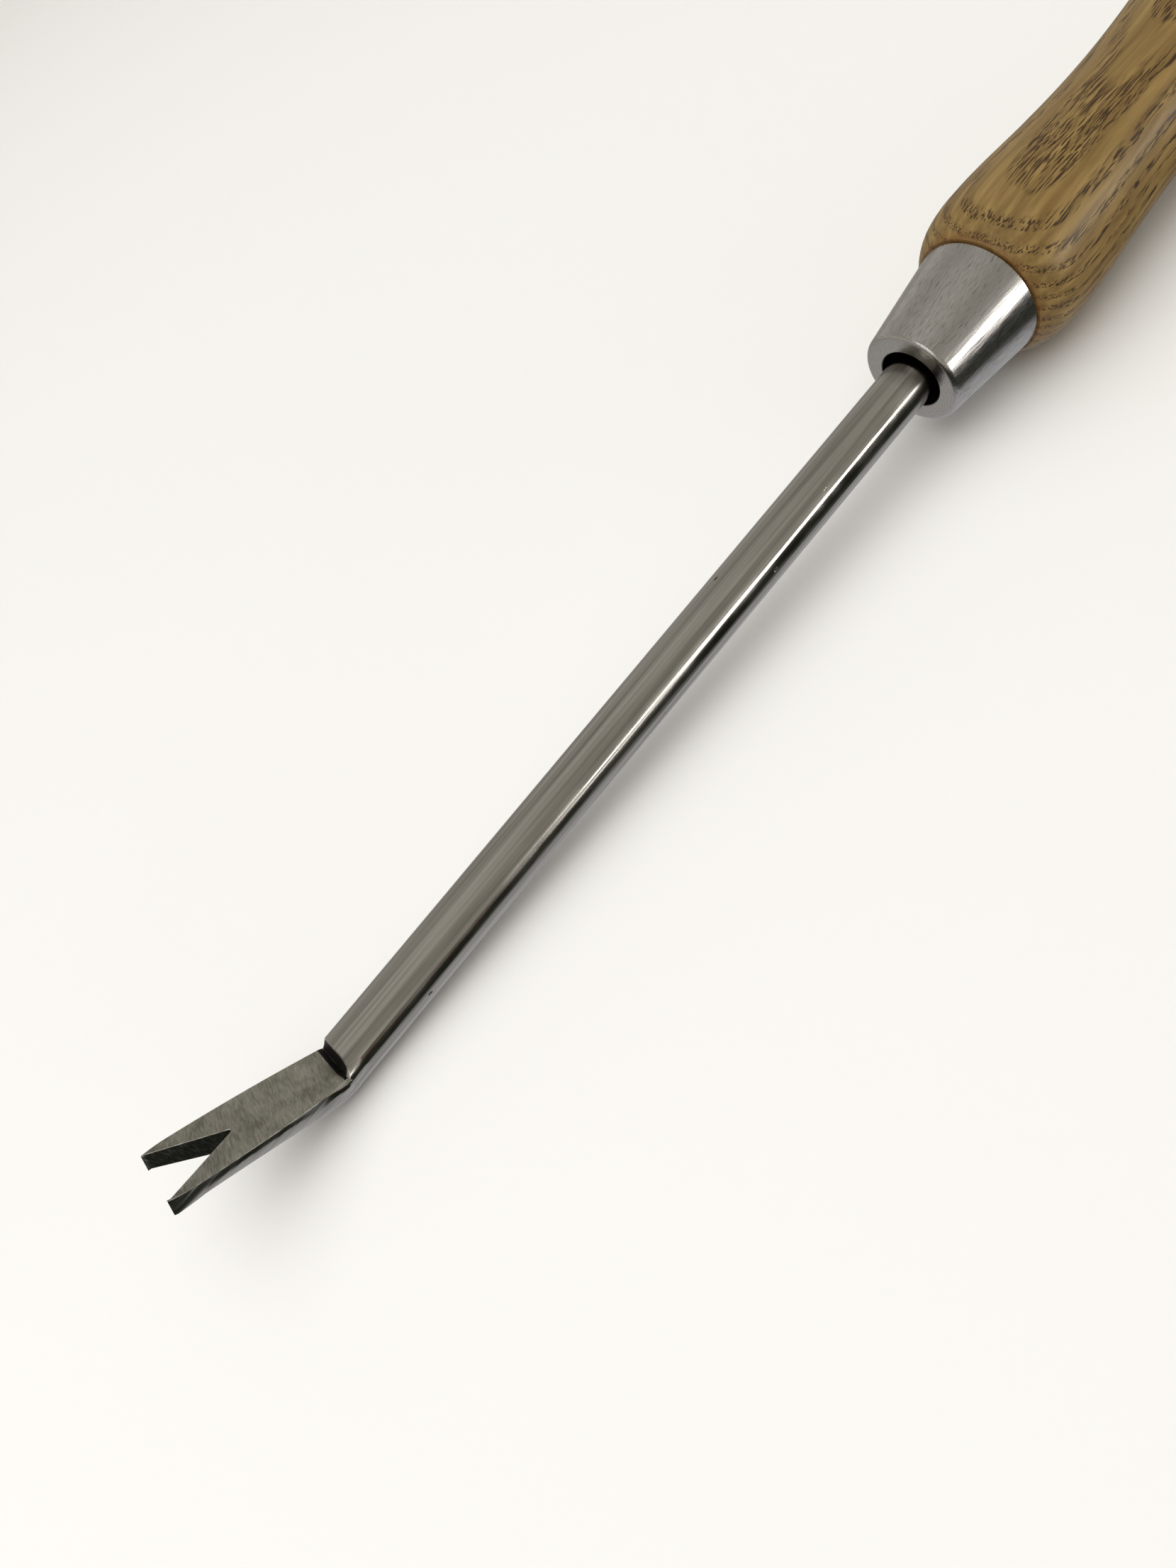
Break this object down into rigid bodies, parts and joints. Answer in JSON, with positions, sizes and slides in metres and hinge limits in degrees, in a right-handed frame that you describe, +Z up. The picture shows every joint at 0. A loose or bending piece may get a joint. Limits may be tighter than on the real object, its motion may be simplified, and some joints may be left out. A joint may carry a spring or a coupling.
{
  "type": "hive tool",
  "caption": "Forked, cranked steel prying blade on a straight round shank, with a tapered ferrule and a turned wooden handle.",
  "frame": {"origin": "middle of the footprint, on the surface the tool lies on", "axes": "+X from the butt of the handle to the blade, +Z up with the blade's flat face up, +Y to the tool's left. The shank's axis dips 3.4 degrees towards the blade, because the tool lies on the handle's front bulge and on the heel"},
  "size_m": [0.3407, 0.0336, 0.0387],
  "materials": {
    "forged_steel": "polished round shank, ground blade face",
    "ferrule_steel": "drawn, polished lengthwise",
    "ash": "turned, varnished",
    "epoxy": "cured, dark"
  },
  "bodies": {
    "root": {"blade_shank": "forged_steel", "ferrule": "ferrule_steel", "handle": "ash", "tang_adhesive": "epoxy"}
  },
  "joints": []
}
